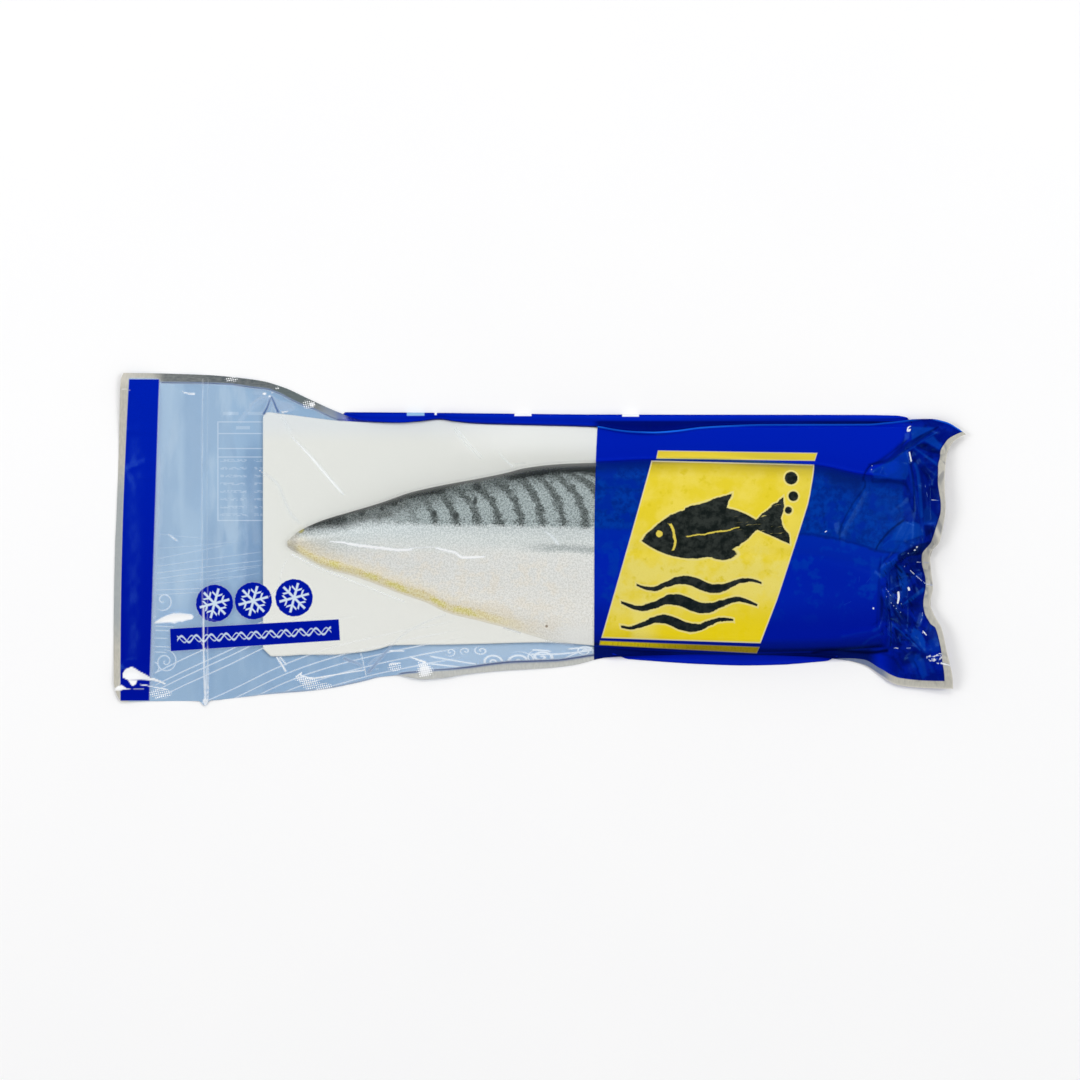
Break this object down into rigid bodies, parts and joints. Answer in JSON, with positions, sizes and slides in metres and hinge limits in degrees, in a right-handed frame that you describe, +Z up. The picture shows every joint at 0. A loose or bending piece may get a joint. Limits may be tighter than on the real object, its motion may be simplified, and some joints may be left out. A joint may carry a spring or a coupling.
{
  "type": "vacuum-packed salted mackerel fillet",
  "caption": "Flat vacuum pouch with clear and printed film, sealed tightly over a salted mackerel fillet that lies skin up on a white board.",
  "frame": {"origin": "centre of the footprint, on the surface that the pouch lies on", "axes": "+X from the fish's tail to its cut head end, +Y towards the fish's back, +Z up out of the shown side"},
  "size_m": [0.3492, 0.1358, 0.0204],
  "materials": {
    "film": "glossy plastic film, clear at the tail end, printed blue at the head end"
  },
  "bodies": {
    "root": {"sealed_pack": "film"}
  },
  "joints": []
}
